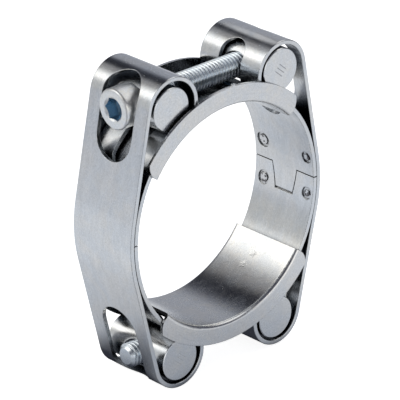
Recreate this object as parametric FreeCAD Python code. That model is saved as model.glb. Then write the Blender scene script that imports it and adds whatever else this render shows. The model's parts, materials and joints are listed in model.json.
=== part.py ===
import FreeCAD, Part
import math
import os

# Double-bolt pipe clamp, in millimetres.
# The pipe's axis is Y and passes through the origin, at the middle of the band's width. Z is up and the bolts
# lie along X. The front is -Y. Each half is one strip: an inner band, two loops round the pins and an outer
# strap.

Vec = FreeCAD.Vector
X_AXIS = Vec(1, 0, 0)
Y_AXIS = Vec(0, 1, 0)
Z_AXIS = Vec(0, 0, 1)
ORIGIN = Vec(0, 0, 0)

# Driving dimensions
PIPE_R = 27.5            # radius that the bridges clamp
BAND_WIDTH = 20.0
STRIP_T = 1.1            # strip thickness
BRIDGE_T = 0.7           # bridge sheet thickness
PIN_R = 5.4
THREAD_R = 3.0           # M6 bolt
HEAD_R = 5.0
HEAD_HEIGHT = 6.0
HEX_ACROSS_FLATS = 5.0
BOLT_LENGTH = 43.5       # under the head

# Strip profile, measured on the strip's middle surface
LAYER_GAP = 0.1          # between the strap and the inner band at mid-height
MID_CENTRE_X = -4.5      # the right-hand band's flatter middle is an arc about this point
MID_INNER_X = 28.4       # inner surface of the right-hand band at mid-height
MID_END_ANGLE = 25.0     # the flatter middle ends at this angle above the bore's axis
LOOP_R = 7.25
BEND_R = 3.0             # where the inner band turns into the loop
EDGE_R = 0.22            # rounding of the strip's long edges

# Slots in the strip
STRAP_SLOT_R = 5.85
STRAP_SLOT_ARCH = 70.5   # where the slot's other end comes to on the loop, above +X
FACING_SLOT_R = 3.75
FACING_SLOT_ARCH = 121.0
SLOT_REACH_IN = 1.5      # the cutting tools reach this far inside and outside the loop's middle surface
SLOT_REACH_OUT = 3.0
ARCH_REACH_IN = 3.0      # distance of an arch's cutting peg from the loop's axis

# The four quarters differ a little, for the upper gap is the wider one and the halves were formed apart:
#   loop_x: loop centre's distance from the middle
#   loop_distance: loop centre's distance from the bore's axis
#   side_r: the inner band's inner surface under the pin, from the bore's axis
#   strap_slot_end: height at which the slot on the strap ends
#   facing_slot_end: angle at which the slot on the inner band ends
UPPER_LEFT_QUARTER = {"loop_x": 17.35, "loop_distance": 35.95, "side_r": 29.05,
                      "strap_slot_end": 18.5, "facing_slot_end": 32.5}
UPPER_RIGHT_QUARTER = {"loop_x": 17.35, "loop_distance": 35.68, "side_r": 29.05,
                       "strap_slot_end": 18.5, "facing_slot_end": 32.5}
LOWER_LEFT_QUARTER = {"loop_x": 15.5, "loop_distance": 35.75, "side_r": 29.35,
                      "strap_slot_end": 19.0, "facing_slot_end": 39.0}
LOWER_RIGHT_QUARTER = {"loop_x": 16.5, "loop_distance": 35.75, "side_r": 29.35,
                       "strap_slot_end": 19.0, "facing_slot_end": 39.0}

# Butt joint and clinch spots at mid-height of the inner band
JOINT_Z = 0.9
JOINT_GAP = 0.16         # along the tab's sides
SHOULDER_GAP = 0.26      # on either side of the tab
TIP_GAP = 0.6            # under the tab
TAB_ROOT_HALF = 4.1
TAB_TIP_FRONT = 3.1      # the tab's tip is a little off centre
TAB_TIP_BACK = 2.6
TAB_DROP = 6.1
SPOTS = (                # y, height over the joint, radius
    (6.9, 4.8, 2.0),
    (6.9, -5.2, 1.8),
    (-7.8, 4.6, 1.5),
    (-7.8, -4.8, 1.5),
)
SPOT_DEPTH = 0.34
SPOT_RIM = 0.7           # width of the ring pressed round a spot's raised middle
SPOT_SINK = 0.06         # how far the raised middle stays below the band's surface
NUGGET_INSET = 0.2       # the joined metal between the layers is this much narrower than the spot

# Pins and bolts
BOLT_TILT = 0.87         # degrees by which the bolts rise towards +X, for the pins lie loose in their loops
UPPER_LEFT_PIN = (-17.4, 31.2)
UPPER_PIN_SPAN = 34.3    # along X
LOWER_LEFT_PIN = (-15.4, -32.75)
LOWER_PIN_SPAN = 31.6
PIN_LENGTH = 19.5        # the pins float endways between the bridges' flanges
PIN_FRONT = -9.95        # their front ends
RECESSED_PIN_FRONT = -9.5
PIN_CHAMFER = 0.2
SEAT_DEPTH = 3.4         # flat seat of the bolt head, from the pin's axis
SEAT_R = 5.3
CLEARANCE_HOLE_R = 3.3
NUT_HOLE_R = THREAD_R + 0.05
COUNTERSINK_R = 3.9
HEAD_GAP = 0.05          # between the head and its seat
TIP_CHAMFER = 1.0

# Bridges
FLANGE_GAP = 0.15        # between the flange and the band's edge
FLANGE_R = 32.4          # outer edge of the flanges
FLANGE_BEND_R = 1.0
BRIDGE_SPAN = 100.0      # degrees
FLANGE_SLANT = 4.2       # degrees that the flange's outer edge stops short of the web's end
UPPER_BRIDGE_MID = 95.4  # both bridges float and rest a few degrees off centre
LOWER_BRIDGE_MID = -85.6
NIB_WIDTH = 0.9          # part-off nib on one flange's edge
NIB_HEIGHT = 0.35
NIB_ANGLE = 7.0          # from the bridge's middle

HALF_WIDTH = BAND_WIDTH / 2
MID_R = MID_INNER_X - MID_CENTRE_X + STRIP_T / 2
STRAP_R = MID_R + STRIP_T + LAYER_GAP
FAR = 80.0               # longer than the object


def polar(centre_x, centre_z, radius, degrees, y=0.0):
    angle = math.radians(degrees)
    return Vec(centre_x + radius * math.cos(angle), y, centre_z + radius * math.sin(angle))


def bearing(start, end):
    return math.degrees(math.atan2(end.z - start.z, end.x - start.x))


def mirrored(shape, normal):
    return shape.mirror(ORIGIN, normal)


def fused(shapes):
    return shapes[0].multiFuse(shapes[1:]) if len(shapes) > 1 else shapes[0]


# ---- the strip's path ------------------------------------------------------------------------------------
# A path is a list of arcs (centre, radius, start, end) with angles in degrees. Straight runs join them.

def loop_centre(quarter):
    loop_x = quarter["loop_x"]
    return Vec(loop_x, 0, math.sqrt(quarter["loop_distance"] ** 2 - loop_x ** 2))


def side_arc(quarter):
    """Arc of the inner band from the flatter middle to under the pin, tangent to the middle arc."""
    middle = Vec(MID_CENTRE_X, 0, 0)
    angle = math.radians(MID_END_ANGLE)
    reach = (MID_CENTRE_X * math.cos(angle)
             + math.sqrt(MID_R ** 2 - (MID_CENTRE_X * math.sin(angle)) ** 2))
    start = polar(0, 0, reach, MID_END_ANGLE)
    normal = (start - middle).normalize()
    pin_angle = bearing(ORIGIN, loop_centre(quarter))
    under_pin = polar(0, 0, quarter["side_r"] + STRIP_T / 2, pin_angle)
    chord = start - under_pin
    radius = chord.dot(chord) / (2 * normal.dot(chord))
    return start - normal * radius, radius, bearing(middle, start)


def circle_crossing(c1, r1, c2, r2):
    """The crossing of two circles that lies to the left of the line from c1 to c2."""
    line = c2 - c1
    distance = line.Length
    along = (distance ** 2 + r1 ** 2 - r2 ** 2) / (2 * distance)
    across = math.sqrt(r1 ** 2 - along ** 2)
    line.normalize()
    return c1 + line * along + Vec(-line.z, 0, line.x) * across


def quarter_path(quarter):
    """Right-hand half, upper quarter: from mid-height up the inner band, over the loop, down to the strap."""
    middle = Vec(MID_CENTRE_X, 0, 0)
    loop = loop_centre(quarter)
    side, side_r, side_start = side_arc(quarter)
    bend = circle_crossing(side, side_r + BEND_R, loop, LOOP_R - BEND_R)
    side_end = bearing(side, bend)
    loop_start = bearing(loop, bend) % 360
    to_loop = loop - middle
    strap_normal = bearing(middle, loop) - math.degrees(math.acos((STRAP_R - LOOP_R) / to_loop.Length))
    return [
        (middle, MID_R, 0.0, side_start),
        (side, side_r, side_start, side_end),
        (bend, BEND_R, side_end + 180, loop_start),
        (loop, LOOP_R, loop_start, strap_normal),
        (middle, STRAP_R, strap_normal, 0.0),
    ]


def lower(path):
    """The same path below mid-height, so that it runs on from the strap back to the inner band."""
    return [(Vec(c.x, 0, -c.z), r, -end, -start) for c, r, start, end in reversed(path)]


def outline(path, offset):
    """Closed wire at a distance from the middle surface, positive on the bore's side."""
    edges = []
    previous = None
    for centre, radius, start, end in path:
        r = radius - offset if end > start else radius + offset
        points = [polar(centre.x, centre.z, r, a) for a in (start, (start + end) / 2, end)]
        if previous is not None and (points[0] - previous).Length > 1e-6:
            edges.append(Part.LineSegment(previous, points[0]).toShape())
        edges.append(Part.Arc(*points).toShape())
        previous = points[2]
    return Part.Wire(edges)


def rounded_strip(path):
    outer = Part.Face(outline(path, STRIP_T / 2))
    inner = Part.Face(outline(path, -STRIP_T / 2))
    section = outer.cut(inner)
    section.translate(Y_AXIS * -HALF_WIDTH)
    strip = section.extrude(Y_AXIS * BAND_WIDTH)
    strip = strip.Solids[0]
    long_edges = [e for e in strip.Edges if abs(abs(e.CenterOfMass.y) - HALF_WIDTH) < 1e-4]
    return strip.makeFillet(EDGE_R, long_edges)


# ---- cutting tools for the strip -------------------------------------------------------------------------

def radial_peg(centre, degrees, near, far, radius):
    direction = polar(0, 0, 1, degrees)
    return Part.makeCylinder(radius, far - near, centre + direction * near, direction)


def radial_box(centre, degrees, near, far, low, high, half_width):
    """Box whose depth runs along the radius at an angle, and whose height runs across it."""
    box = Part.makeBox(far - near, 2 * half_width, high - low, Vec(near, -half_width, low))
    box.rotate(ORIGIN, Y_AXIS, -degrees)
    box.translate(centre)
    return box


def strap_slot(quarter):
    """Slot for the bolt head, from low on the strap to the shoulder of the loop."""
    loop = loop_centre(quarter)
    strap_normal = quarter_path(quarter)[-1][2]
    slope = math.radians(strap_normal)
    tangent_z = loop.z + LOOP_R * math.sin(slope)
    low = (quarter["strap_slot_end"] - tangent_z) / math.cos(slope) + STRAP_SLOT_R
    arch = STRAP_SLOT_ARCH - math.degrees(math.asin(STRAP_SLOT_R / (LOOP_R + STRIP_T / 2)))
    near = LOOP_R - SLOT_REACH_IN
    far = LOOP_R + SLOT_REACH_OUT
    run = radial_peg(loop, strap_normal, near, far, STRAP_SLOT_R)
    run.translate(polar(0, 0, low, strap_normal + 90))
    return fused([
        run,
        radial_box(loop, strap_normal, near, far, low, 0.5, STRAP_SLOT_R),
        radial_box(loop, arch, near, far, -2.5, 0.0, STRAP_SLOT_R),
        radial_peg(loop, arch, ARCH_REACH_IN, far, STRAP_SLOT_R),
    ])


def facing_slot(quarter):
    """Slot for the shank: down the side of the loop that faces the other half, and on under the pin."""
    loop = loop_centre(quarter)
    side_r = quarter["side_r"]
    arch = FACING_SLOT_ARCH + math.degrees(math.asin(FACING_SLOT_R / (LOOP_R + STRIP_T / 2)))
    band_end = quarter["facing_slot_end"] + math.degrees(math.asin(FACING_SLOT_R / side_r))
    inside = side_r - 2.0
    outside = side_r + STRIP_T + 1.0
    corners = [
        loop,
        polar(loop.x, loop.z, LOOP_R + 5.0, arch),
        polar(0, 0, inside, 84.0),
        polar(0, 0, inside, 60.0),
        polar(0, 0, inside - 1.0, band_end),
        polar(0, 0, outside, band_end),
    ]
    corners.append(corners[0])
    face = Part.Face(Part.makePolygon(corners))
    face.translate(Y_AXIS * -FACING_SLOT_R)
    return fused([
        face.extrude(Y_AXIS * 2 * FACING_SLOT_R),
        radial_peg(loop, arch, ARCH_REACH_IN, LOOP_R + SLOT_REACH_OUT, FACING_SLOT_R),
        radial_peg(ORIGIN, band_end, inside, outside, FACING_SLOT_R),
    ])


def joint_cut():
    """Thin gap along the tab and notch where the strip's two ends meet."""
    upper_line = [
        (-HALF_WIDTH - 1, 0), (-TAB_ROOT_HALF, 0), (-TAB_TIP_FRONT, -TAB_DROP),
        (TAB_TIP_BACK, -TAB_DROP), (TAB_ROOT_HALF, 0), (HALF_WIDTH + 1, 0),
    ]
    lower_line = [
        (HALF_WIDTH + 1, -SHOULDER_GAP), (TAB_ROOT_HALF + JOINT_GAP, -SHOULDER_GAP),
        (TAB_TIP_BACK + JOINT_GAP, -TAB_DROP - TIP_GAP), (-TAB_TIP_FRONT - JOINT_GAP, -TAB_DROP - TIP_GAP),
        (-TAB_ROOT_HALF - JOINT_GAP, -SHOULDER_GAP), (-HALF_WIDTH - 1, -SHOULDER_GAP),
    ]
    line = upper_line + lower_line + upper_line[:1]
    middle_z = JOINT_Z + JOINT_GAP / 2
    face = Part.Face(Part.makePolygon([Vec(MID_INNER_X - 3, y, middle_z + z) for y, z in line]))
    slab = face.extrude(X_AXIS * 6)
    return slab.common(ring_round_middle(MID_R - STRIP_T, MID_R + STRIP_T / 2 + LAYER_GAP / 2))


def ring_round_middle(inner_r, outer_r):
    base = Vec(MID_CENTRE_X, -FAR, 0)
    return Part.makeCylinder(outer_r, 2 * FAR, base, Y_AXIS).cut(
        Part.makeCylinder(inner_r, 2 * FAR, base, Y_AXIS))


def spot_pegs(inset, inner_r, outer_r):
    """Pegs along X at the clinch spots, thinner by the inset, trimmed to a ring round the middle."""
    pegs = [Part.makeCylinder(radius - inset, 12, Vec(MID_INNER_X - 4, y, JOINT_Z + rise), X_AXIS)
            for y, rise, radius in SPOTS]
    return fused(pegs).common(ring_round_middle(inner_r, outer_r))


def half(upper_quarter, lower_quarter):
    """One half of the clamp, as it is on the right-hand side."""
    strip = rounded_strip(quarter_path(upper_quarter) + lower(quarter_path(lower_quarter)))
    for quarter, below in ((upper_quarter, False), (lower_quarter, True)):
        for tool in (strap_slot(quarter), facing_slot(quarter)):
            strip = strip.cut(mirrored(tool, Z_AXIS) if below else tool)
    strip = strip.cut(joint_cut())
    surface_r = MID_R - STRIP_T / 2
    strip = strip.cut(spot_pegs(0, surface_r - 1, surface_r + SPOT_DEPTH))
    buttons = spot_pegs(SPOT_RIM, surface_r + SPOT_SINK, surface_r + SPOT_DEPTH + 0.1)
    nuggets = spot_pegs(NUGGET_INSET, MID_R, STRAP_R)
    return strip.fuse(buttons).fuse(nuggets).removeSplitter()


# ---- bridges ---------------------------------------------------------------------------------------------

def bridge_section():
    """Channel section in the plane of the bore's axis and +X: a web with two flanges turned outwards."""
    edge_y = HALF_WIDTH + FLANGE_GAP + BRIDGE_T
    outer = channel_outline(PIPE_R, edge_y, FLANGE_BEND_R)
    inner = channel_outline(PIPE_R + BRIDGE_T, edge_y - BRIDGE_T, FLANGE_BEND_R - BRIDGE_T)
    return outer.cut(inner)


def channel_outline(web_r, edge_y, corner_r):
    """Area inside a channel, from the web to the flanges' outer edges, with rounded corners."""
    diagonal = corner_r * (1 - math.sqrt(0.5))
    edges = [
        Part.LineSegment(Vec(FLANGE_R, -edge_y, 0), Vec(web_r + corner_r, -edge_y, 0)).toShape(),
        Part.Arc(Vec(web_r + corner_r, -edge_y, 0), Vec(web_r + diagonal, -edge_y + diagonal, 0),
                 Vec(web_r, -edge_y + corner_r, 0)).toShape(),
        Part.LineSegment(Vec(web_r, -edge_y + corner_r, 0), Vec(web_r, edge_y - corner_r, 0)).toShape(),
        Part.Arc(Vec(web_r, edge_y - corner_r, 0), Vec(web_r + diagonal, edge_y - diagonal, 0),
                 Vec(web_r + corner_r, edge_y, 0)).toShape(),
        Part.LineSegment(Vec(web_r + corner_r, edge_y, 0), Vec(FLANGE_R, edge_y, 0)).toShape(),
        Part.LineSegment(Vec(FLANGE_R, edge_y, 0), Vec(FLANGE_R, -edge_y, 0)).toShape(),
    ]
    return Part.Face(Part.Wire(edges))


def bridge_end_trim(end, short):
    """Area beyond one end of a bridge. The flange's outer edge stops short of the web's end, in a curve."""
    web_end = polar(0, 0, PIPE_R + FLANGE_BEND_R, end)
    shoulder = polar(0, 0, FLANGE_R - 1.2, end + short * 0.35)
    tip = polar(0, 0, FLANGE_R + 0.1, end + short)
    beyond = end - 3 * short
    corners = [
        tip,
        polar(0, 0, FLANGE_R + 4, end + short),
        polar(0, 0, FLANGE_R + 4, beyond),
        polar(0, 0, PIPE_R - 3, beyond),
        polar(0, 0, PIPE_R - 3, end),
        web_end,
    ]
    edges = [Part.Arc(web_end, shoulder, tip).toShape()]
    edges += [Part.LineSegment(a, b).toShape() for a, b in zip(corners, corners[1:])]
    face = Part.Face(Part.Wire(edges))
    face.translate(Y_AXIS * -FAR)
    return face.extrude(Y_AXIS * 2 * FAR)


def bridge(middle):
    """Bridge with its middle at an angle above +X, and its nib on the front flange."""
    half_span = BRIDGE_SPAN / 2
    body = bridge_section().revolve(ORIGIN, Y_AXIS, -(BRIDGE_SPAN + 2))
    body.rotate(ORIGIN, Y_AXIS, -(middle - half_span - 1))
    body = body.cut(bridge_end_trim(middle - half_span, FLANGE_SLANT))
    body = body.cut(bridge_end_trim(middle + half_span, -FLANGE_SLANT))
    flange_y = -HALF_WIDTH - FLANGE_GAP
    nib = Part.makeBox(NIB_WIDTH, BRIDGE_T, 3 * NIB_HEIGHT,
                       Vec(-NIB_WIDTH / 2, flange_y - BRIDGE_T, FLANGE_R - 2 * NIB_HEIGHT))
    nib.rotate(ORIGIN, Y_AXIS, 90 - middle + NIB_ANGLE)
    return body.fuse(nib).removeSplitter()


# ---- pins and bolts --------------------------------------------------------------------------------------
# Each is made with its head or nut hole facing -X, on the origin, then turned and moved into place.

def plain_pin(front):
    pin = Part.makeCylinder(PIN_R, PIN_LENGTH, Vec(0, front, 0), Y_AXIS)
    middle = front + PIN_LENGTH / 2
    rims = [e for e in pin.Edges if abs(abs(e.CenterOfMass.y - middle) - PIN_LENGTH / 2) < 1e-6]
    return pin.makeChamfer(PIN_CHAMFER, rims)


def cross_hole(radius):
    return Part.makeCylinder(radius, 4 * PIN_R, Vec(-2 * PIN_R, 0, 0), X_AXIS)


def head_pin(front):
    seat = Part.makeCylinder(SEAT_R, PIN_R, Vec(-SEAT_DEPTH - PIN_R, 0, 0), X_AXIS)
    return plain_pin(front).cut(cross_hole(CLEARANCE_HOLE_R)).cut(seat)


def nut_pin(front):
    pin = plain_pin(front).cut(cross_hole(NUT_HOLE_R))
    depth = COUNTERSINK_R - NUT_HOLE_R
    mouth = PIN_R - 0.25
    for side in (-1, 1):
        base = Vec(side * (mouth + 1), 0, 0)
        cone = Part.makeCone(COUNTERSINK_R + 1, NUT_HOLE_R, depth + 1, base, X_AXIS * -side)
        pin = pin.cut(cone)
    return pin


def hex_prism(across_flats, length):
    corner_r = across_flats / math.sqrt(3)
    corners = [Vec(0, corner_r * math.cos(math.radians(60 * i)), corner_r * math.sin(math.radians(60 * i)))
               for i in range(7)]
    return Part.Face(Part.makePolygon(corners)).extrude(X_AXIS * length)


def bolt():
    """Cap screw along +X with the underside of its head on the origin."""
    socket_depth = HEAD_HEIGHT * 0.55
    head = Part.makeCylinder(HEAD_R, HEAD_HEIGHT, Vec(-HEAD_HEIGHT, 0, 0), X_AXIS)
    rim = [e for e in head.Edges if abs(e.CenterOfMass.x + HEAD_HEIGHT) < 1e-6]
    head = head.makeFillet(0.7, rim)
    socket = hex_prism(HEX_ACROSS_FLATS, socket_depth)
    socket.translate(X_AXIS * -HEAD_HEIGHT)
    drill = Part.makeCone(HEX_ACROSS_FLATS / 2, 0.3, 1.2, Vec(socket_depth - HEAD_HEIGHT, 0, 0), X_AXIS)
    lead_in = Part.makeCone(HEX_ACROSS_FLATS / math.sqrt(3) + 0.15, HEX_ACROSS_FLATS / 2, 0.45,
                            Vec(-HEAD_HEIGHT, 0, 0), X_AXIS)
    shank = Part.makeCylinder(THREAD_R, BOLT_LENGTH, ORIGIN, X_AXIS)
    tip = [e for e in shank.Edges if abs(e.CenterOfMass.x - BOLT_LENGTH) < 1e-6]
    shank = shank.makeChamfer(TIP_CHAMFER, tip)
    return head.fuse(shank).cut(socket).cut(drill).cut(lead_in).removeSplitter()


def placed(shape, place, turned=False):
    """Moved to its place and tilted with the bolts, turned half round first where its head faces +X."""
    shape = shape.copy()
    shape.rotate(ORIGIN, Y_AXIS, 180 - BOLT_TILT if turned else -BOLT_TILT)
    shape.translate(place)
    return shape


def pin_pair(left, span):
    """Centres of the two pins on one bolt."""
    left_pin = Vec(left[0], 0, left[1])
    return left_pin, left_pin + Vec(span, 0, span * math.tan(math.radians(BOLT_TILT)))


upper_left, upper_right = pin_pair(UPPER_LEFT_PIN, UPPER_PIN_SPAN)
lower_left, lower_right = pin_pair(LOWER_LEFT_PIN, LOWER_PIN_SPAN)
head_offset = polar(0, 0, SEAT_DEPTH + HEAD_GAP, BOLT_TILT)

nodes = {
    "left_band": mirrored(half(UPPER_LEFT_QUARTER, LOWER_LEFT_QUARTER), X_AXIS),
    "right_band": half(UPPER_RIGHT_QUARTER, LOWER_RIGHT_QUARTER),
    "upper_bridge": bridge(UPPER_BRIDGE_MID),
    "lower_bridge": bridge(-LOWER_BRIDGE_MID),
    "upper_head_pin": placed(head_pin(RECESSED_PIN_FRONT), upper_left),
    "upper_nut_pin": placed(nut_pin(PIN_FRONT), upper_right),
    "lower_nut_pin": placed(nut_pin(PIN_FRONT), lower_left),
    "lower_head_pin": placed(head_pin(PIN_FRONT), lower_right, turned=True),
    "upper_bolt": placed(bolt(), upper_left - head_offset),
    "lower_bolt": placed(bolt(), lower_right + head_offset, turned=True),
}
nodes["lower_bridge"].rotate(ORIGIN, X_AXIS, 180)

os.makedirs("parts", exist_ok=True)
for name, shape in nodes.items():
    shape.Solids[0].exportStep("parts/" + name + ".step")
    print(name, len(shape.Solids), shape.isValid(), round(shape.Volume, 1))
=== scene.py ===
import json
import math

import bpy
from mathutils import Matrix, Vector


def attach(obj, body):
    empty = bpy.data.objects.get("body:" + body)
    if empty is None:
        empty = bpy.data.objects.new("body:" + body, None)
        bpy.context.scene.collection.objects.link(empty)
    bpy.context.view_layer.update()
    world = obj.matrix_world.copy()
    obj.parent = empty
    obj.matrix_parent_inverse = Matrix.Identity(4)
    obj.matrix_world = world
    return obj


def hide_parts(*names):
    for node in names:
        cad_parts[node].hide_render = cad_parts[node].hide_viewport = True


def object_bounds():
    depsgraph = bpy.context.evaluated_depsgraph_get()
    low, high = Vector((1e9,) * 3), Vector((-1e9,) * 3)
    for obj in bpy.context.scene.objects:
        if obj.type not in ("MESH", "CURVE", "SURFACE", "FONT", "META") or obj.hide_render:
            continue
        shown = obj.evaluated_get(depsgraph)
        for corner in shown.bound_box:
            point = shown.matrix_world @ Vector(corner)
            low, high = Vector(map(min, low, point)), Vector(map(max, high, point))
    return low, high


# Double-bolt pipe clamp: looks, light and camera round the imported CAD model. Lengths are in metres, except
# inside the zinc materials, which work in millimetres.

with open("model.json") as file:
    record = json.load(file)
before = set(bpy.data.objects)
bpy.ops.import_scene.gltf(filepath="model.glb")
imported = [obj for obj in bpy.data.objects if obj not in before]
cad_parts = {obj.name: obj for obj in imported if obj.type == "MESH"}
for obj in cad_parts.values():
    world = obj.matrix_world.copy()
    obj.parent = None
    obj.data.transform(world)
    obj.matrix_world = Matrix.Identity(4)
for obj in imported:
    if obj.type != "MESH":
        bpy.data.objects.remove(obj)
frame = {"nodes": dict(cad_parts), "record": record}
cad_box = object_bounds()
joints = {joint["name"]: joint for joint in frame["record"]["behaviour"]["joints"]}
MM = 0.001

# ---- camera ----------------------------------------------------------------------------------------------
# Azimuth is measured from the front (-Y), positive towards +X.

CAMERA_AZIMUTH = math.radians(-43.202)
CAMERA_ELEVATION = math.radians(24.085)
CAMERA_DISTANCE = 0.780989
CAMERA_TARGET = Vector((0.000353, 0.0, 0.000257))
LENS = 297.0
SENSOR_WIDTH = 36.0


def make_camera():
    level = math.cos(CAMERA_ELEVATION)
    back = Vector((math.sin(CAMERA_AZIMUTH) * level, -math.cos(CAMERA_AZIMUTH) * level,
                   math.sin(CAMERA_ELEVATION)))
    data = bpy.data.cameras.new("camera")
    data.lens = LENS
    data.sensor_width = SENSOR_WIDTH
    data.clip_start = 0.05
    data.clip_end = 20.0
    camera = bpy.data.objects.new("camera", data)
    camera.rotation_mode = "QUATERNION"
    camera.location = CAMERA_TARGET + back * CAMERA_DISTANCE
    camera.rotation_quaternion = (-back).to_track_quat("-Z", "Y")
    bpy.context.collection.objects.link(camera)
    bpy.context.scene.camera = camera


# ---- node helpers ----------------------------------------------------------------------------------------

class Nodes:
    """A node tree with short calls for the nodes used here. Values may be sockets or plain numbers."""

    def __init__(self, tree):
        self.tree = tree
        tree.nodes.clear()

    def put(self, socket, value):
        if isinstance(value, bpy.types.NodeSocket):
            self.tree.links.new(value, socket)
        else:
            socket.default_value = value

    def add(self, kind, inputs=None, **settings):
        node = self.tree.nodes.new(kind)
        for name, value in settings.items():
            setattr(node, name, value)
        for name, value in (inputs or {}).items():
            self.put(node.inputs[name], value)
        return node

    def math(self, operation, a, b=0.0):
        return self.add("ShaderNodeMath", {0: a, 1: b}, operation=operation).outputs[0]

    def chain(self, operation, first, *others):
        for other in others:
            first = self.math(operation, first, other)
        return first

    def total(self, *values):
        return self.chain("ADD", *values)

    def product(self, *values):
        return self.chain("MULTIPLY", *values)

    def less(self, a, b):
        return self.math("SUBTRACT", a, b)

    def size(self, value):
        return self.math("ABSOLUTE", value)

    def radius(self, a, b):
        return self.math("SQRT", self.total(self.product(a, a), self.product(b, b)))

    def degrees(self, radians):
        return self.product(radians, 180 / math.pi)

    def ramp(self, value, low, high, to_low=0.0, to_high=1.0, smooth=True):
        """Rises from to_low at low to to_high at high, and stays level outside them."""
        inputs = {"Value": value, "From Min": low, "From Max": high, "To Min": to_low, "To Max": to_high}
        return self.add("ShaderNodeMapRange", inputs, clamp=True,
                        interpolation_type="SMOOTHSTEP" if smooth else "LINEAR").outputs["Result"]

    def fade(self, value, low, high):
        return self.ramp(value, low, high, 1.0, 0.0)

    def spread(self, noise, amount):
        """A noise turned into a number from -amount to amount."""
        return self.ramp(noise, 0.30, 0.70, -amount, amount, smooth=False)

    def mix(self, factor, a, b, blend="MIX"):
        node = self.add("ShaderNodeMix", data_type="RGBA", blend_type=blend)
        self.put(node.inputs[0], factor)
        self.put(node.inputs[6], a)
        self.put(node.inputs[7], b)
        return node.outputs[2]

    def noise(self, vector, scale, detail=2.0, roughness=0.5, distortion=0.0):
        inputs = {"Vector": vector, "Scale": scale, "Detail": detail, "Roughness": roughness,
                  "Distortion": distortion}
        return self.add("ShaderNodeTexNoise", inputs).outputs[0]

    def combine(self, x, y, z):
        return self.add("ShaderNodeCombineXYZ", {0: x, 1: y, 2: z}).outputs[0]

    def stretched(self, *pairs):
        """A vector from three pairs of value and factor."""
        return self.combine(*(self.product(value, factor) for value, factor in pairs))

    def separate(self, vector):
        return self.add("ShaderNodeSeparateXYZ", {0: vector}).outputs

    def distance(self, vector, point):
        inputs = {0: vector, 1: tuple(point)}
        return self.add("ShaderNodeVectorMath", inputs, operation="DISTANCE").outputs["Value"]

    def length(self, vector):
        return self.add("ShaderNodeVectorMath", {0: vector}, operation="LENGTH").outputs["Value"]


def rgb(red, green, blue):
    return (red, green, blue, 1.0)


WHITE = rgb(1.0, 1.0, 1.0)

# ---- studio ----------------------------------------------------------------------------------------------
# The studio's panels, as (azimuth from, to, softness; elevation from, to, softness; colour). Azimuth is in
# degrees from +Y, positive towards +X. Each is laid over the ones before it.

PANELS = [
    ((32, 70, 8), (-14, 38, 8), rgb(0.33, 0.345, 0.39)),           # dim panel, back right
    ((46, 142, 9), (35, 66, 8), rgb(1.12, 1.12, 1.13)),           # high softbox on the right
    ((0, 32, 8), (34, 80, 8), rgb(0.016, 0.018, 0.026)),          # black flag, back
    ((-62, 3, 10), (8, 64, 10), rgb(0.29, 0.29, 0.30)),           # spill beside the big softbox
    ((-104, -12, 12), (-14, 22, 7), rgb(0.55, 0.56, 0.57)),       # pale wall under the big softbox
    ((-92, -28, 14), (23.5, 64, 8), rgb(1.75, 1.74, 1.70)),       # big softbox, back left
    ((-195, -130, 8), (-6, 26, 8), rgb(1.15, 1.15, 1.15)),        # front light near the camera, left part
    ((154, 195, 8), (-6, 26, 8), rgb(1.15, 1.15, 1.15)),          # and its right part
]
TABLE_LIGHT = rgb(0.50, 0.52, 0.57)
ROOM_DARK = rgb(0.065, 0.070, 0.095)
HORIZON = (-6, 14)   # elevations between which the table's light gives way to the dark room

FLOOR_HALF = 2.0
FLOOR_HEIGHT = cad_box[0].z - 0.05 * MM

CARD_DROP = 0.1 * MM
# painted shadow of the object on the card, close to it
CARD_NEAR_SHADOW = rgb(0.33, 0.35, 0.395)
CARD_FAR = rgb(0.72, 0.745, 0.79)
# painted shadow of the object on the card, under it
CARD_UNDER_SHADOW = rgb(0.035, 0.038, 0.050)
CARD_FLAG = rgb(0.10, 0.105, 0.12)
CARD_NEAR_SHADOW_FADE = (0.032, 0.085)   # distances from the object's middle
CARD_TABLE_FADE = (0.20, 0.55)
FLAG_DISTANCES = (0.04, 0.07)
FLAG_BEARINGS = ((-122, -112), (-92, -82))   # in degrees from +Y: where the sector sets in and where it ends
# where the painted shadow under the object lies, and how it fades out
UNDER_SHADOW_CENTRE_Y = 0.007
UNDER_SHADOW_RADII = (0.034, 0.021)
UNDER_SHADOW_FADE = (0.75, 1.15)

REFLECTOR_MIDDLE = Vector((0.0405, 0.038, 0.075))
REFLECTOR_ACROSS = Vector((0.843, 0.0, -0.537)) * 15 * MM
REFLECTOR_ALONG = Vector((0.0, 15 * MM, 0.0))
REFLECTOR_FADE = (0.007, 0.019)
REFLECTOR_COLOUR = rgb(0.58, 0.59, 0.62)


def make_world():
    """The panels for reflections and light, and plain white where the camera looks past the object."""
    world = bpy.data.worlds.new("studio")
    world.use_nodes = True
    bpy.context.scene.world = world
    n = Nodes(world.node_tree)
    x, y, z = n.separate(n.add("ShaderNodeTexCoord").outputs["Generated"])
    azimuth = n.degrees(n.math("ARCTAN2", x, y))
    elevation = n.degrees(n.math("ARCSINE", z))
    colour = n.mix(n.ramp(elevation, *HORIZON), TABLE_LIGHT, ROOM_DARK)
    for azimuths, elevations, panel in PANELS:
        mask = 1.0
        for value, (start, end, soft) in ((azimuth, azimuths), (elevation, elevations)):
            mask = n.product(mask, n.ramp(value, start - soft, start + soft),
                             n.fade(value, end - soft, end + soft))
        colour = n.mix(mask, colour, panel)
    seen = n.add("ShaderNodeLightPath").outputs["Is Camera Ray"]
    light = n.add("ShaderNodeBackground", {"Color": colour, "Strength": 1.0}).outputs[0]
    white = n.add("ShaderNodeBackground", {"Color": WHITE, "Strength": 1.0}).outputs[0]
    shown = n.add("ShaderNodeMixShader", {0: seen, 1: light, 2: white}).outputs[0]
    n.add("ShaderNodeOutputWorld", {"Surface": shown})


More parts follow.
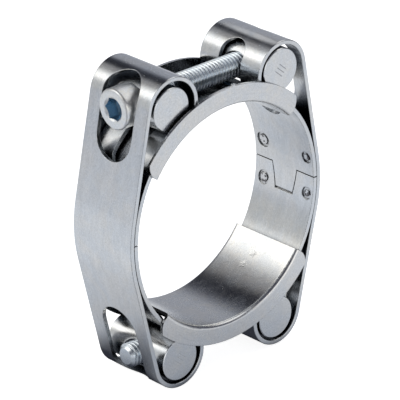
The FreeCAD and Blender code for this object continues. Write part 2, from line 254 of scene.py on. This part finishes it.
def stage_sheet(name, corners):
    """One four-sided face that isn't part of the object, and the nodes of its own empty material."""
    mesh = bpy.data.meshes.new(name)
    mesh.from_pydata([tuple(corner) for corner in corners], [], [(0, 1, 2, 3)])
    sheet = bpy.data.objects.new(name, mesh)
    bpy.context.collection.objects.link(sheet)
    material = bpy.data.materials.new(name)
    material.use_nodes = True
    mesh.materials.append(material)
    sheet.visible_diffuse = False
    return sheet, Nodes(material.node_tree)


def level_square(name, height):
    half = FLOOR_HALF
    return stage_sheet(name, [(-half, -half, height), (half, -half, height), (half, half, height),
                              (-half, half, height)])


def make_floor():
    """The pale floor that the camera sees. The metal mirrors the card below it instead."""
    floor, n = level_square("floor", FLOOR_HEIGHT)
    shader = n.add("ShaderNodeBsdfPrincipled", {
        "Base Color": rgb(0.86, 0.86, 0.87), "Roughness": 0.7, "Specular IOR Level": 0.2,
        "Emission Color": WHITE, "Emission Strength": 0.90})
    n.add("ShaderNodeOutputMaterial", {"Surface": shader.outputs[0]})
    floor.visible_glossy = False


def make_card():
    """What the metal mirrors below it: a card with a painted shadow of the object close to it and under it,
    and darker in a sector to its left."""
    card, n = level_square("card", FLOOR_HEIGHT - CARD_DROP)
    place = n.add("ShaderNodeTexCoord").outputs["Object"]
    distance = n.length(place)
    x, y = n.separate(place)[:2]
    # painted shadow: the card is darker close to the object
    near = n.mix(n.ramp(distance, *CARD_NEAR_SHADOW_FADE), CARD_NEAR_SHADOW, CARD_FAR)
    colour = n.mix(n.ramp(distance, *CARD_TABLE_FADE), near, TABLE_LIGHT)
    # painted shadow of the object on the card, under it
    under = n.length(n.combine(n.math("DIVIDE", x, UNDER_SHADOW_RADII[0]),
                               n.math("DIVIDE", n.less(y, UNDER_SHADOW_CENTRE_Y), UNDER_SHADOW_RADII[1]), 0.0))
    colour = n.mix(n.ramp(under, *UNDER_SHADOW_FADE), CARD_UNDER_SHADOW, colour)
    bearing = n.degrees(n.math("ARCTAN2", x, y))
    start, end = FLAG_BEARINGS
    sector = n.product(n.ramp(bearing, *start), n.fade(bearing, *end), n.ramp(distance, *FLAG_DISTANCES))
    colour = n.mix(sector, colour, CARD_FLAG)
    glow = n.add("ShaderNodeEmission", {"Color": colour, "Strength": 1.0})
    n.add("ShaderNodeOutputMaterial", {"Surface": glow.outputs[0]})
    card.visible_camera = False


def make_reflector():
    """A small soft panel near the upper right loop, which only that loop's top mirrors."""
    corners = [REFLECTOR_MIDDLE + REFLECTOR_ACROSS * across + REFLECTOR_ALONG * along
               for across, along in ((-1, -1), (1, -1), (1, 1), (-1, 1))]
    panel, n = stage_sheet("reflector", corners)
    off = n.distance(n.add("ShaderNodeTexCoord").outputs["Object"], REFLECTOR_MIDDLE)
    glow = n.add("ShaderNodeEmission", {"Color": REFLECTOR_COLOUR, "Strength": n.fade(off, *REFLECTOR_FADE)})
    clear = n.add("ShaderNodeBsdfTransparent")
    edge = n.ramp(off, *REFLECTOR_FADE)
    shown = n.add("ShaderNodeMixShader", {0: edge, 1: glow.outputs[0], 2: clear.outputs[0]})
    n.add("ShaderNodeOutputMaterial", {"Surface": shown.outputs[0]})
    panel.visible_camera = False
    panel.visible_shadow = False


# ---- zinc plate ------------------------------------------------------------------------------------------

# painted shade on the cut ends of a bridge's web
WEB_END_SHADE = rgb(0.06, 0.06, 0.06)
FLECK_COLOUR = rgb(0.06, 0.05, 0.055)
# painted highlight on the cut faces of the band's butt joint
LIP_HIGHLIGHT = rgb(0.95, 0.95, 0.94)
# painted shade on the inner faces of a bridge's flanges
CHANNEL_SHADE_COLOUR = rgb(0.016, 0.034, 0.054)
STROKE_COLOUR = rgb(0.22, 0.22, 0.22)
BUMP_HEIGHT = 0.006 * MM
JOINT_FADE = (7.5, 8.5)        # the lips of the butt joint lie within this height of its middle
TAB_TIP_FADE = (-3.0, -1.0)    # the gap under the tab is lower than this, the joint's other lips are higher
WEB_FADE = (28.9, 29.3)        # a bridge's web is nearer to the pipe's axis than this, unlike its flanges
PIN_FRONT_FADE = (-9.9, -9.8)  # y just behind the nut pins' front faces
STROKE_SLANT = math.radians(-40)


class Surface:
    """What the steps of a zinc material share, in mm: places, normals, and noises at several scales."""

    def __init__(self, n, grain, centre):
        self.n = n
        coordinates = n.add("ShaderNodeTexCoord")
        metres = coordinates.outputs["Object"]
        self.place = n.add("ShaderNodeVectorMath", {0: metres, 3: 1 / MM}, operation="SCALE").outputs[0]
        self.x, self.y, self.z = n.separate(self.place)
        self.normal_x, self.normal_y, self.normal_z = n.separate(coordinates.outputs["Normal"])
        self.from_x = n.less(self.x, centre[0])
        self.from_z = n.less(self.z, centre[1])
        self.out = n.radius(self.from_x, self.from_z)
        self.lines = self.grain_lines(grain)
        self.fine = n.noise(self.place, 5.0, 3.0, 0.6)
        self.mottle = n.noise(self.place, 2.2, 3.0, 0.65)
        self.patches = n.noise(self.place, 0.75, 3.0, 0.6, 0.6)
        self.clouds = n.noise(self.place, 0.16, 3.0, 0.55, 0.4)
        self.pits = self.pit_mask()

    def grain_lines(self, grain):
        n = self.n
        if grain == "plain":
            return n.noise(self.place, 3.0, 3.0, 0.6)
        angle = n.math("ARCTAN2", self.from_z, self.from_x)
        if grain == "rolled":
            place = n.stretched((angle, 6.6), (self.y, 4.0), (self.out, 4.0))
        else:
            place = n.stretched((self.out, 5.0), (angle, 1.2), (self.y, 0.6))
        return n.noise(place, 1.0, 3.0, 0.6)

    def pit_mask(self):
        """Small pits and specks, in some areas only."""
        n = self.n
        cells = n.add("ShaderNodeTexVoronoi", {"Vector": self.place, "Scale": 1.15, "Randomness": 1.0})
        areas = n.ramp(n.noise(self.place, 0.55), 0.50, 0.62)
        return n.product(n.fade(cells.outputs["Distance"], 0.07, 0.16), areas)


def plate_colour(s, colour, blotch, speckle, smudges):
    """Bluish and warm patches in the plating, with the grain, rubbed stains and pits."""
    n = s.n
    bluish = rgb(colour[0] * 0.95, colour[1] * 0.985, colour[2] * 1.03)
    warm = rgb(colour[0] * 0.98, colour[1] * 0.93, colour[2] * 0.80)
    plate = n.mix(n.ramp(s.clouds, 0.35, 0.65), colour, bluish)
    plate = n.mix(n.product(n.ramp(s.patches, 0.50, 0.72), 0.45 * blotch), plate, warm)
    shade = n.total(n.spread(s.lines, 0.035), n.spread(s.fine, 0.035), n.spread(s.mottle, 0.07), 1.0)
    if smudges:
        rubbed = n.noise(n.stretched((s.x, 0.5), (s.y, 0.55), (s.z, 0.12)), 1.0, 4.0, 0.6, 0.5)
        shade = n.product(shade, n.ramp(rubbed, 0.35, 0.65, 1.0 - smudges, 1.0 + 0.4 * smudges))
    shade = n.product(shade, n.ramp(s.patches, 0.30, 0.70, 1.0 - 0.09 * blotch, 1.0),
                      n.less(1.0, n.product(s.pits, 0.55 * speckle)))
    return n.mix(1.0, plate, n.combine(shade, shade, shade), "MULTIPLY")


def joint_lip_highlight(s):
    """Mask of the painted highlight on the level cut faces of the band's butt joint, strongest under its tab.
    """
    n = s.n
    return n.product(n.ramp(n.size(s.normal_z), 0.6, 0.9), n.fade(n.size(s.z), *JOINT_FADE),
                     n.ramp(s.z, *TAB_TIP_FADE, 1.0, 0.35))


def add_flecks(s, shaded, points):
    """Dark specks round the given points, on either half."""
    n = s.n
    either_half = n.combine(n.size(s.x), s.y, s.z)
    scattered = n.ramp(n.noise(s.place, 1.2), 0.50, 0.56)
    for point in points:
        around = n.ramp(n.distance(either_half, point), 1.0, 2.1, 0.85, 0.0)
        shaded = n.mix(n.product(around, scattered), shaded, FLECK_COLOUR)
    return shaded


def shade_channel(s, shaded, channel):
    """Painted shade: darkens the cut ends of a bridge's web, and the inner faces of its flanges."""
    n = s.n
    outward = n.math("DIVIDE", n.total(n.product(s.normal_x, s.x), n.product(s.normal_z, s.z)), s.out)
    # painted shade on the cut ends of the web
    end = n.product(n.fade(n.size(outward), 0.5, 0.8), n.fade(n.size(s.normal_y), 0.3, 0.6),
                    n.fade(s.out, *WEB_FADE))
    shaded = n.mix(end, shaded, WEB_END_SHADE)
    # painted shade on the flanges' inner faces, as strong as channel
    inward = n.ramp(n.product(s.normal_y, s.y), -9.0, -4.0, channel, 0.0)
    return n.mix(inward, shaded, CHANNEL_SHADE_COLOUR)


def struck_marks(s):
    """Mask of three short slanting strokes struck in a pin's front face."""
    n = s.n
    cosine, sine = math.cos(STROKE_SLANT), math.sin(STROKE_SLANT)
    along = n.total(n.product(s.from_x, cosine), n.product(s.from_z, sine))
    across = n.less(n.product(s.from_z, cosine), n.product(s.from_x, sine))
    line = n.ramp(n.math("PINGPONG", n.total(across, 0.5), 0.5), 0.38, 0.48)
    return n.product(line, n.fade(n.size(along), 1.25, 1.5), n.fade(n.size(across), 1.45, 1.5),
                     n.fade(s.y, *PIN_FRONT_FADE))


def relief_height(s, grain_height, blotch, speckle, dents):
    n = s.n
    relief = n.total(n.product(s.lines, 0.6 * grain_height), n.product(s.fine, 0.22),
                     n.product(s.patches, 1.5 * blotch))
    relief = n.less(relief, n.product(s.pits, 1.2 * speckle))
    for point in dents:
        off = n.total(n.distance(s.place, point), n.spread(s.mottle, 0.4))
        relief = n.less(relief, n.product(n.fade(off, 0.2, 1.2), 6.0))
    return relief


def zinc(name, colour, roughness, grain, centre=(0.0, 0.0), grain_height=0.5, blotch=0.5, speckle=0.5,
         reach=1.0, gap=(0.15, 0.75), dark=rgb(0.020, 0.030, 0.045), edge_radius=0.12, smudges=0.0,
         strokes=0.0, dents=(), flecks=(), channel=0.0, joint=False, metallic=1.0):
    """Bright zinc plate on steel. All lengths are in mm.

    grain is "rolled" along the strip, "turned" on the faces of a pin about its centre (x, z), or "plain".
    reach is how far off a neighbouring surface begins to darken this one with painted shade, and gap gives
    the shares of open sky between which the colour goes from the painted shade's colour, dark, to the plate's
    own.
    blotch, speckle, smudges and strokes are strengths. dents are the points of small dents, and flecks the
    points, on either half, round which dark specks lie. channel paints shade on the ends of a bridge's web
    and, with its strength, on the inner faces of its flanges, and joint gives the lips of the band's butt
    joint a
    painted highlight: a light, less metallic colour kept out of the painted shade.
    """
    material = bpy.data.materials.new(name)
    material.use_nodes = True
    n = Nodes(material.node_tree)
    s = Surface(n, grain, centre)

    shaded = plate_colour(s, colour, blotch, speckle, smudges)
    # Painted shade: the colour goes towards dark in gaps, creases and recesses, where neighbouring surfaces
    # close in.
    open_sky = n.add("ShaderNodeAmbientOcclusion", {"Distance": reach * MM}, samples=8).outputs["AO"]
    lit = n.ramp(open_sky, *gap)
    # Painted highlight: the joint's cut faces get a light, less metallic colour and no painted shade.
    if joint:
        lip_highlight = joint_lip_highlight(s)
        lit = n.math("MAXIMUM", lit, lip_highlight)
        shaded = n.mix(lip_highlight, shaded, LIP_HIGHLIGHT)
        metallic = n.less(1.0, lip_highlight)
    shaded = n.mix(lit, dark, shaded)
    if flecks:
        shaded = add_flecks(s, shaded, flecks)
    if channel:
        shaded = shade_channel(s, shaded, channel)

    relief = relief_height(s, grain_height, blotch, speckle, dents)
    if strokes:
        marks = struck_marks(s)
        relief = n.less(relief, n.product(marks, 9.0 * strokes))
        shaded = n.mix(n.product(marks, 0.6 * strokes), shaded, STROKE_COLOUR)
    edge = n.add("ShaderNodeBevel", {"Radius": edge_radius * MM}, samples=6).outputs[0]
    normal = n.add("ShaderNodeBump", {"Strength": 1.0, "Distance": BUMP_HEIGHT, "Height": relief,
                                      "Normal": edge}).outputs[0]

    rough = n.total(n.ramp(s.clouds, 0.3, 0.7, roughness - 0.035, roughness + 0.035),
                    n.ramp(s.patches, 0.3, 0.7, -0.035 * blotch, 0.045 * blotch), n.product(s.pits, 0.2))
    shader = n.add("ShaderNodeBsdfPrincipled", {
        "Base Color": shaded, "Metallic": metallic, "Roughness": rough, "Normal": normal})
    n.add("ShaderNodeOutputMaterial", {"Surface": shader.outputs[0]})
    return material


def assign(node, material):
    for slot in frame["nodes"][node].material_slots:
        slot.material = material


# ---- bolts -----------------------------------------------------------------------------------------------
# M6 x 1 cap screw along +X, with the underside of its head on the origin

THREAD_R = 3.0 * MM
ROOT_R = 2.42 * MM
PITCH = 1.0 * MM
CREST_HALF = 0.09          # half of the crest's flat, in pitches
FLANK = 0.33               # width of a flank, in pitches
RUNOUT_R = 2.92 * MM       # the thread's last crest, under the head
RUNOUT_LENGTH = 0.6 * MM
LENGTH = 43.5 * MM
TIP_CHAMFER = 1.0 * MM
TIP_CENTRE_R = 0.3 * MM
HEAD_R = 5.0 * MM
HEAD_HEIGHT = 6.0 * MM
HEAD_FILLET = 0.7 * MM
HEAD_CHAMFER = 0.25 * MM
FILLET_STEPS = 6
HEX_FLATS_R = 2.5 * MM
SOCKET_DEPTH = 3.3 * MM
CONE_DEPTH = 1.1 * MM      # the drilled cone below the socket's flat sides
CONE_MOUTH_R = HEX_FLATS_R * 0.97
CONE_TIP_R = 0.25 * MM
LEAD_BEYOND = 0.15 * MM    # how far the chamfered lead-in goes beyond the hexagon's corners
LEAD_SLOPE = 0.8
FACE_RING = 0.25 * MM      # narrow rings beside the lead-in and the fillet, which keep them crisp
FILLET_RING = 0.1 * MM
AROUND = 72
STEPS_PER_PITCH = 14
SOCKET_BANDS = 3           # bands of faces in the socket, before those of the head
MATERIAL_THREAD, MATERIAL_HEAD, MATERIAL_SOCKET = range(3)
SHARP_ANGLE = math.radians(32)
SEAT_TO_AXIS = 3.45 * MM   # from the head pin's axis to the underside of the head


def hexagon(angle):
    """Radius of the socket's outline."""
    sixth = math.pi / 3
    return HEX_FLATS_R / math.cos((angle % sixth) - sixth / 2)


def thread_radius(x, angle):
    """Radius of a 60 degree thread with narrow flats at crest and root, cut off by the tip's chamfer."""
    phase = (x / PITCH - angle / (2 * math.pi)) % 1.0
    rise = min(max((abs(phase - 0.5) - CREST_HALF) / FLANK, 0.0), 1.0)
    radius = THREAD_R - (THREAD_R - ROOT_R) * rise
    tip = THREAD_R - max(0.0, x - (LENGTH - TIP_CHAMFER))
    runout = RUNOUT_R if x < RUNOUT_LENGTH else THREAD_R
    return min(radius, tip, runout)


def bolt_rings(angles):
    """Rings of (x, radius, angle): the socket from its bottom, the head, and the thread to its tip."""
    face = -HEAD_HEIGHT
    bottom = face + SOCKET_DEPTH
    lead_r = HEX_FLATS_R / math.cos(math.pi / 6) + LEAD_BEYOND
    fillet_r = HEAD_R - HEAD_FILLET

    def circle(x, radius):
        return [(x, radius, a) for a in angles]

    socket = [circle(bottom + CONE_DEPTH, CONE_TIP_R), circle(bottom, CONE_MOUTH_R),
              [(bottom, hexagon(a), a) for a in angles],
              [(face + (lead_r - hexagon(a)) * LEAD_SLOPE, hexagon(a), a) for a in angles]]
    head = [circle(face, radius) for radius in (lead_r, lead_r + FACE_RING, fillet_r - FILLET_RING)]
    for i in range(FILLET_STEPS + 1):
        turn = math.pi / 2 * i / FILLET_STEPS
        head.append(circle(face + HEAD_FILLET * (1 - math.cos(turn)),
                           fillet_r + HEAD_FILLET * math.sin(turn)))
    head += [circle(-HEAD_CHAMFER, HEAD_R), circle(0.0, HEAD_R - HEAD_CHAMFER), circle(0.0, THREAD_R)]
    thread = []
    step = PITCH / STEPS_PER_PITCH
    for i in range(1, round(LENGTH / step) + 1):
        thread.append([(i * step, thread_radius(i * step, a), a) for a in angles])
    thread.append(circle(LENGTH, TIP_CENTRE_R))
    return socket + head + thread, len(socket) + len(head) - 1 - SOCKET_BANDS


def bolt_mesh(name):
    """A closed mesh over the bolt's rings, with the thread, head and socket as separate materials."""
    angles = [2 * math.pi * i / AROUND for i in range(AROUND)]
    rings, head_bands = bolt_rings(angles)
    verts = [(x, r * math.cos(a), r * math.sin(a)) for ring in rings for x, r, a in ring]
    faces = []
    for i in range(len(rings) - 1):
        for j in range(AROUND):
            k = (j + 1) % AROUND
            faces.append((i * AROUND + j, i * AROUND + k, (i + 1) * AROUND + k, (i + 1) * AROUND + j))
    last = (len(rings) - 1) * AROUND
    socket_end = tuple(range(AROUND))[::-1]
    tip_end = tuple(last + j for j in range(AROUND))
    mesh = bpy.data.meshes.new(name)
    mesh.from_pydata(verts, [], faces + [socket_end, tip_end])
    part_of = [MATERIAL_SOCKET] * (SOCKET_BANDS * AROUND) + [MATERIAL_HEAD] * (head_bands * AROUND)
    part_of += [MATERIAL_THREAD] * (len(faces) - len(part_of)) + [MATERIAL_SOCKET, MATERIAL_THREAD]
    mesh.polygons.foreach_set("material_index", part_of)
    mesh.shade_smooth()
    mesh.set_sharp_from_angle(angle=SHARP_ANGLE)
    mesh.update()
    return mesh


def make_bolt(node, joint_name, outward, materials):
    """Puts a threaded bolt on its joint's axis. outward is 1 for a head at the axis's positive end, or -1."""
    joint = joints[joint_name]
    axis = Vector(joint["axis"]).normalized()
    seat = Vector(joint["pos_m"]) + axis * SEAT_TO_AXIS * outward
    along = -axis * outward
    side = Vector((0, 1, 0))
    up = along.cross(side)
    basis = Matrix((along, side, up)).transposed().to_4x4()
    mesh = bolt_mesh(node + "_threaded")
    mesh.transform(Matrix.Translation(seat) @ basis)
    for material in materials:
        mesh.materials.append(material)
    piece = bpy.data.objects.new(node + "_threaded", mesh)
    bpy.context.collection.objects.link(piece)
    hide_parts(node)
    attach(piece, node)


# ---- the scene -------------------------------------------------------------------------------------------

BAND_ZINC = rgb(0.80, 0.80, 0.79)
BRIDGE_ZINC = rgb(0.82, 0.81, 0.79)
PIN_ZINC = rgb(0.82, 0.82, 0.81)
THREAD_ZINC = rgb(0.92, 0.96, 0.99)
HEAD_ZINC = rgb(0.93, 0.93, 0.91)
SOCKET_ZINC = rgb(0.42, 0.56, 0.66)
CLINCH_SPOTS = ((28.4, 6.9, 5.7), (28.4, 6.9, -4.3), (28.4, -7.8, 5.5), (28.4, -7.8, -3.9))
WEB_DENTS = ((19.0, 1.0, -19.9), (16.3, 1.6, -22.2))
PINS = {   # the joint on each pin's axis, and the strength of the strokes in its face
    "upper_head_pin": ("upper_head_pin_turn", 0.0),
    "upper_nut_pin": ("upper_nut_pin_turn", 1.0),
    "lower_nut_pin": ("clamp_tilt", 0.5),
    "lower_head_pin": ("right_half_tilt", 0.0),
}


def finish_sheet_metal():
    # Both finishes paint shade into their gaps; the band also a painted highlight on its joint's lips, the
    # bridge painted shade on its web's ends and flanges' inner faces.
    band = zinc("band_zinc", BAND_ZINC, 0.21, "rolled", blotch=0.35, speckle=0.15, edge_radius=0.2,
                smudges=0.05, reach=6.0, gap=(0.18, 0.84), joint=True, flecks=CLINCH_SPOTS)
    bridge = zinc("bridge_zinc", BRIDGE_ZINC, 0.24, "rolled", blotch=0.6, speckle=0.08, edge_radius=0.22,
                  reach=6.0, gap=(0.12, 0.78), dark=rgb(0.030, 0.045, 0.060), channel=0.75, dents=WEB_DENTS)
    for node in ("left_band", "right_band"):
        assign(node, band)
    for node in ("upper_bridge", "lower_bridge"):
        assign(node, bridge)


def finish_pins():
    for node, (joint_name, strokes) in PINS.items():
        place = joints[joint_name]["pos_m"]
        # The pins' finish paints shade into the gaps round them.
        assign(node, zinc(node + "_zinc", PIN_ZINC, 0.24, "turned", centre=(place[0] / MM, place[2] / MM),
                          speckle=0.6, reach=2.2, gap=(0.08, 0.50), strokes=strokes))


def make_bolts():
    # Every finish paints shade into its gaps; the thread's painted shade is bluish.
    thread = zinc("thread_zinc", THREAD_ZINC, 0.27, "plain", blotch=0.3, speckle=0.2, grain_height=0.3,
                  reach=0.9, gap=(0.10, 0.66), dark=rgb(0.11, 0.155, 0.21))
    head = zinc("head_zinc", HEAD_ZINC, 0.36, "plain", blotch=1.0, speckle=0.8, grain_height=0.8, reach=1.2,
                metallic=0.8)
    socket = zinc("socket_zinc", SOCKET_ZINC, 0.28, "plain", speckle=0.2)
    make_bolt("upper_bolt", "upper_bolt_turn", -1, (thread, head, socket))
    make_bolt("lower_bolt", "lower_bolt_turn", 1, (thread, head, socket))


make_camera()
make_world()
make_floor()
make_card()
make_reflector()
bpy.context.scene.view_settings.view_transform = "Standard"
finish_sheet_metal()
finish_pins()
make_bolts()
